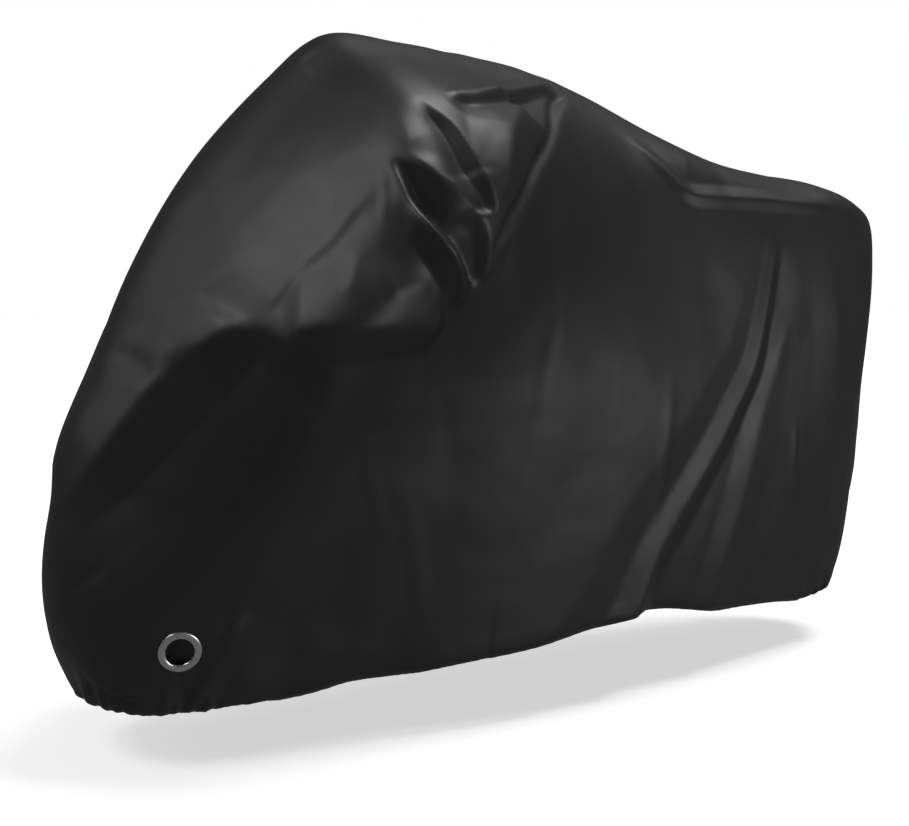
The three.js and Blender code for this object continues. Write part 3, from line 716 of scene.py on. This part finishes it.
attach(hood, "root")
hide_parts("cover", "eyelet_patch_left", "eyelet_patch_right")


# The hem's seam: one line of black polyester lockstitch, 18 mm from the edge, that holds the turned
# cloth round its elastic. The needle pulls each stitch down into the cloth.
SEAM_INSET = 18.0
STITCH_PITCH = 0.0045
STITCH_LENGTH = 0.0036
THREAD_RADIUS = 0.00045
SEAM_SAMPLE = 4.0

draped_normals = grid_normals(draped)
crossings = []
for axis in (0, 1):
    length = shape[axis]
    gap_here, gap_next = (np.take(hem_gap, np.arange(k, length - 1 + k), axis) for k in (0, 1))
    passes = (gap_here - SEAM_INSET) * (gap_next - SEAM_INSET) < 0
    t = ((SEAM_INSET - gap_here[passes]) / (gap_next - gap_here)[passes])[:, None]
    ends = [
        [np.take(grid, np.arange(k, length - 1 + k), axis)[passes] for k in (0, 1)]
        for grid in (draped, draped_normals)
    ]
    at_edge = np.take(hem_at, np.arange(length - 1), axis)[passes]
    point, normal = ((1 - t) * first + t * second for first, second in ends)
    crossings.append(np.column_stack([at_edge, point, normal]))
crossings = np.vstack(crossings)
stretches = (crossings[:, 0] // SEAM_SAMPLE).astype(int)
seam = np.array([crossings[stretches == k, 1:].mean(axis=0) for k in np.unique(stretches)])

thread = bpy.data.materials.new("hem_thread")
thread.use_nodes = True
thread_shader = thread.node_tree.nodes["Principled BSDF"]
thread_shader.inputs["Specular IOR Level"].default_value = 0.4
along_thread = add_node(thread.node_tree, "ShaderNodeTexCoord").outputs["Object"]
twist = place_group(thread.node_tree, scuffs, along_thread, scale=900.0, stretch=1.0, amount=0.25)
worn = place_group(thread.node_tree, cloudy, along_thread, scale=12.0, low=0.55, high=0.75)
thread_colour = add_node(thread.node_tree, "ShaderNodeMix", data_type="RGBA")
thread_colour.inputs["A"].default_value = (0.012, 0.012, 0.013, 1)
thread_colour.inputs["B"].default_value = (0.05, 0.05, 0.052, 1)
thread.node_tree.links.new(twist.outputs["Mask"], thread_colour.inputs["Factor"])
thread.node_tree.links.new(thread_colour.outputs["Result"], thread_shader.inputs["Base Color"])
thread.node_tree.links.new(worn.outputs["Value"], thread_shader.inputs["Roughness"])

seam_mesh = bpy.data.meshes.new("seam_line")
ring = np.arange(len(seam))
ring_edges = np.column_stack([ring, np.roll(ring, -1)])
seam_mesh.from_pydata(to_row(seam[:, :3]).tolist(), ring_edges.tolist(), [])
outward_data = seam_mesh.attributes.new("outward", "FLOAT_VECTOR", "POINT")
outward_data.data.foreach_set("vector", seam[:, 3:].ravel())
seam_line = bpy.data.objects.new("seam_line", seam_mesh)
bpy.context.scene.collection.objects.link(seam_line)

sewing = bpy.data.node_groups.new("sewing", "GeometryNodeTree")
sewing.interface.new_socket("Geometry", in_out="INPUT", socket_type="NodeSocketGeometry")
sewing_sizes = {"Pitch": STITCH_PITCH, "Length": STITCH_LENGTH, "Radius": THREAD_RADIUS}
for label in sewing_sizes:
    sewing.interface.new_socket(label, in_out="INPUT", socket_type="NodeSocketFloat")
sewing.interface.new_socket("Thread", in_out="INPUT", socket_type="NodeSocketMaterial")
sewing.interface.new_socket("Geometry", in_out="OUTPUT", socket_type="NodeSocketGeometry")
sewing_in, sewing_out = sewing.nodes.new("NodeGroupInput"), sewing.nodes.new("NodeGroupOutput")
to_curve = sewing.nodes.new("GeometryNodeMeshToCurve")
even_steps = add_node(sewing, "GeometryNodeResampleCurve", mode="LENGTH")
run_of_seam = sewing.nodes.new("GeometryNodeInputTangent")
outward_read = add_node(sewing, "GeometryNodeInputNamedAttribute", data_type="FLOAT_VECTOR")
outward_read.inputs["Name"].default_value = "outward"
face_along = add_node(sewing, "FunctionNodeAlignRotationToVector", axis="X")
face_out = add_node(sewing, "FunctionNodeAlignRotationToVector", axis="Z", pivot_axis="X")
bead = add_node(sewing, "GeometryNodeMeshUVSphere", segments=8, rings=6, radius=1.0)
half_length = add_node(sewing, "ShaderNodeMath", operation="MULTIPLY")
half_length.inputs[1].default_value = 0.5
bead_size = sewing.nodes.new("ShaderNodeCombineXYZ")
flatten = sewing.nodes.new("GeometryNodeTransform")
unevenness = add_node(sewing, "FunctionNodeRandomValue", data_type="FLOAT", seed=4)
unevenness.inputs[2].default_value = 0.88
unevenness.inputs[3].default_value = 1.08
instances = sewing.nodes.new("GeometryNodeInstanceOnPoints")
realize = sewing.nodes.new("GeometryNodeRealizeInstances")
set_thread = sewing.nodes.new("GeometryNodeSetMaterial")
sewing.links.new(sewing_in.outputs["Geometry"], to_curve.inputs["Mesh"])
sewing.links.new(to_curve.outputs["Curve"], even_steps.inputs["Curve"])
sewing.links.new(sewing_in.outputs["Pitch"], even_steps.inputs["Length"])
sewing.links.new(run_of_seam.outputs["Tangent"], face_along.inputs["Vector"])
sewing.links.new(face_along.outputs["Rotation"], face_out.inputs["Rotation"])
sewing.links.new(outward_read.outputs["Attribute"], face_out.inputs["Vector"])
sewing.links.new(sewing_in.outputs["Length"], half_length.inputs[0])
sewing.links.new(half_length.outputs["Value"], bead_size.inputs["X"])
sewing.links.new(sewing_in.outputs["Radius"], bead_size.inputs["Y"])
sewing.links.new(sewing_in.outputs["Radius"], bead_size.inputs["Z"])
sewing.links.new(bead.outputs["Mesh"], flatten.inputs["Geometry"])
sewing.links.new(bead_size.outputs["Vector"], flatten.inputs["Scale"])
sewing.links.new(even_steps.outputs["Curve"], instances.inputs["Points"])
sewing.links.new(flatten.outputs["Geometry"], instances.inputs["Instance"])
sewing.links.new(face_out.outputs["Rotation"], instances.inputs["Rotation"])
sewing.links.new(unevenness.outputs[1], instances.inputs["Scale"])
sewing.links.new(instances.outputs["Instances"], realize.inputs["Geometry"])
sewing.links.new(realize.outputs["Geometry"], set_thread.inputs["Geometry"])
sewing.links.new(sewing_in.outputs["Thread"], set_thread.inputs["Material"])
sewing.links.new(set_thread.outputs["Geometry"], sewing_out.inputs["Geometry"])

sewn = seam_line.modifiers.new("sewn", "NODES")
sewn.node_group = sewing
for item in sewing.interface.items_tree:
    if item.in_out == "INPUT" and item.name in sewing_sizes:
        sewn[item.identifier] = sewing_sizes[item.name]
    if item.in_out == "INPUT" and item.name == "Thread":
        sewn[item.identifier] = thread
evaluated = seam_line.evaluated_get(bpy.context.evaluated_depsgraph_get())
stitch_mesh = bpy.data.meshes.new_from_object(evaluated)
bpy.data.objects.remove(seam_line)
stitches = bpy.data.objects.new("hem_stitches", stitch_mesh)
bpy.context.scene.collection.objects.link(stitches)
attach(stitches, "root")


# The eyelets: pressed steel in two parts, a domed flange whose barrel goes through the cloth, and a
# plain washer on the inside over which the barrel's end is rolled.
HOLE_RADIUS = 24.0
BARREL_RADIUS = 25.4
FLANGE_RADIUS = 37.0
FLANGE_HEIGHT = 3.5
ROLLED_END = -4.3
EYELET_STEPS = 96

# The flange's half profile as radius and height over the cloth's face, closed round the metal.
EYELET_PROFILE = [
    (BARREL_RADIUS, 0.3),
    (FLANGE_RADIUS - 0.3, 0.3),
    (FLANGE_RADIUS, 0.6),
    (FLANGE_RADIUS, 1.0),
    (FLANGE_RADIUS - 0.5, 1.9),
    (FLANGE_RADIUS - 1.6, 2.7),
    (FLANGE_RADIUS - 3.2, 3.2),
    (FLANGE_RADIUS - 5.4, FLANGE_HEIGHT),
    (HOLE_RADIUS + 5.6, FLANGE_HEIGHT),
    (HOLE_RADIUS + 3.6, 3.25),
    (HOLE_RADIUS + 1.9, 2.6),
    (HOLE_RADIUS + 0.7, 1.6),
    (HOLE_RADIUS + 0.1, 0.2),
    (HOLE_RADIUS, -1.2),
    (HOLE_RADIUS, ROLLED_END + 0.9),
    (HOLE_RADIUS + 0.3, ROLLED_END + 0.3),
    (HOLE_RADIUS + 0.8, ROLLED_END),
    (BARREL_RADIUS, ROLLED_END + 0.3),
    (BARREL_RADIUS, -1.2),
]


def turned_ring(profile, steps, middle, normal):
    """Vertices and faces of a closed ring turned round an axis through middle."""
    side = normal.cross(Vector((0, 0, 1))).normalized()
    up = normal.cross(side)
    ring = []
    for k in range(steps):
        angle = 2 * math.pi * k / steps
        out = side * math.cos(angle) + up * math.sin(angle)
        ring += [middle + out * radius + normal * height for radius, height in profile]
    count = len(profile)
    quads = []
    for k in range(steps):
        a, b = k * count, (k + 1) % steps * count
        for i in range(count):
            j = (i + 1) % count
            quads.append((a + i, b + i, b + j, a + j))
    return ring, quads


# The steel: polished, with fine scratches and a slight unevenness from pressing and handling.
eyelet_steel = bpy.data.materials.new("polished_steel")
eyelet_steel.use_nodes = True
steel_tree = eyelet_steel.node_tree
steel = steel_tree.nodes["Principled BSDF"]
steel.inputs["Metallic"].default_value = 1.0
on_steel = add_node(steel_tree, "ShaderNodeTexCoord").outputs["Object"]
scratches = place_group(steel_tree, scuffs, on_steel, scale=220.0, stretch=9.0, amount=0.16)
polish = place_group(steel_tree, cloudy, on_steel, scale=70.0, low=0.2, high=0.3)
rougher = add_node(steel_tree, "ShaderNodeMath", operation="ADD")
steel_tree.links.new(scratches.outputs["Mask"], rougher.inputs[0])
steel_tree.links.new(polish.outputs["Value"], rougher.inputs[1])
steel_tree.links.new(rougher.outputs["Value"], steel.inputs["Roughness"])
tarnish = place_group(steel_tree, cloudy, on_steel, scale=45.0, low=0.0, high=0.6)
steel_colour = add_node(steel_tree, "ShaderNodeMix", data_type="RGBA")
steel_colour.inputs["A"].default_value = (0.66, 0.66, 0.65, 1)
steel_colour.inputs["B"].default_value = (0.52, 0.515, 0.5, 1)
steel_tree.links.new(tarnish.outputs["Value"], steel_colour.inputs["Factor"])
steel_tree.links.new(steel_colour.outputs["Result"], steel.inputs["Base Color"])
pressing = add_node(steel_tree, "ShaderNodeBump", strength=0.3, distance=0.00015)
steel_tree.links.new(tarnish.outputs["Value"], pressing.inputs["Height"])
steel_tree.links.new(pressing.outputs["Normal"], steel.inputs["Normal"])

for side, (middle, normal) in seats.items():
    ring, quads = turned_ring(EYELET_PROFILE, EYELET_STEPS, Vector(middle), Vector(normal))
    eyelet = new_piece(f"eyelet_{side}_flange", to_row([tuple(p) for p in ring]), quads, eyelet_steel)
    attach(eyelet, "root")
    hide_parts(f"eyelet_{side}")
    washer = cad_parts[f"eyelet_washer_{side}"]
    washer.data.materials.clear()
    washer.data.materials.append(eyelet_steel)


# The floor below the hood, the camera at the photograph's viewpoint, and soft studio light: two
# high lights at the left and right, a weak one at the left and a low one in front for the side. The
# room is dim, and a little brighter from below the horizon, as over a pale floor.
GROUND = -1.284

bpy.ops.mesh.primitive_plane_add(size=60, location=(0, 0, GROUND))
floor = bpy.context.object
floor.name = "floor"
floor_paint = bpy.data.materials.new("floor_paint")
floor_paint.use_nodes = True
paint = floor_paint.node_tree.nodes["Principled BSDF"]
paint.inputs["Base Color"].default_value = (0.8, 0.8, 0.8, 1)
paint.inputs["Roughness"].default_value = 0.9
paint.inputs["Emission Color"].default_value = (1, 1, 1, 1)
paint.inputs["Emission Strength"].default_value = 0.6
floor.data.materials.append(floor_paint)
floor.visible_diffuse = False
floor.visible_glossy = False
floor.visible_shadow = False

camera = bpy.data.objects.new("camera", bpy.data.cameras.new("camera"))
bpy.context.scene.collection.objects.link(camera)
camera.location = (VIEW_PLACE - CREST) / 1000
camera.rotation_euler = Vector(view_ahead).to_track_quat("-Z", "Y").to_euler()
camera.data.sensor_width = 36
camera.data.lens = 36 * FOCAL_PIXELS / PHOTO_WIDTH
camera.data.clip_end = 200
bpy.context.scene.camera = camera


def soft_light(name, azimuth, elevation, strength):
    """A wide, soft light from far away, at an angle round the hood and an angle above the floor."""
    lamp = bpy.data.lights.new(name, "SUN")
    lamp.angle = math.radians(25)
    lamp.energy = strength
    light = bpy.data.objects.new(name, lamp)
    a, e = math.radians(azimuth), math.radians(elevation)
    away = Vector((math.cos(e) * math.sin(a), -math.cos(e) * math.cos(a), math.sin(e)))
    light.rotation_euler = (-away).to_track_quat("-Z", "Y").to_euler()
    bpy.context.scene.collection.objects.link(light)


soft_light("high_left_light", -80, 52, 0.85)
soft_light("high_right_light", 80, 69, 1.7)
soft_light("left_light", -115, 30, 0.3)
soft_light("low_front_light", 30, 1, 0.75)

bpy.context.scene.view_settings.view_transform = "Standard"
world = bpy.data.worlds.new("room")
world.use_nodes = True
bpy.context.scene.world = world
room = world.node_tree
soft_room = room.nodes["Background"]
soft_room.inputs["Color"].default_value = (0.9, 0.92, 0.95, 1)
direction = room.nodes.new("ShaderNodeTexCoord")
split_direction = room.nodes.new("ShaderNodeSeparateXYZ")
from_floor = add_node(room, "ShaderNodeMapRange", from_min=0.0, from_max=-0.3)
from_floor.inputs["To Min"].default_value = 0.1
from_floor.inputs["To Max"].default_value = 0.18
room.links.new(direction.outputs["Generated"], split_direction.inputs["Vector"])
room.links.new(split_direction.outputs["Z"], from_floor.inputs["Value"])
room.links.new(from_floor.outputs["Result"], soft_room.inputs["Strength"])
pale_wall = room.nodes.new("ShaderNodeBackground")
pale_wall.inputs["Color"].default_value = (1, 1, 1, 1)
pale_wall.inputs["Strength"].default_value = 1.0
seen = room.nodes.new("ShaderNodeLightPath")
either = room.nodes.new("ShaderNodeMixShader")
room.links.new(seen.outputs["Is Camera Ray"], either.inputs["Fac"])
room.links.new(soft_room.outputs["Background"], either.inputs[1])
room.links.new(pale_wall.outputs["Background"], either.inputs[2])
room.links.new(either.outputs["Shader"], room.nodes["World Output"].inputs["Surface"])
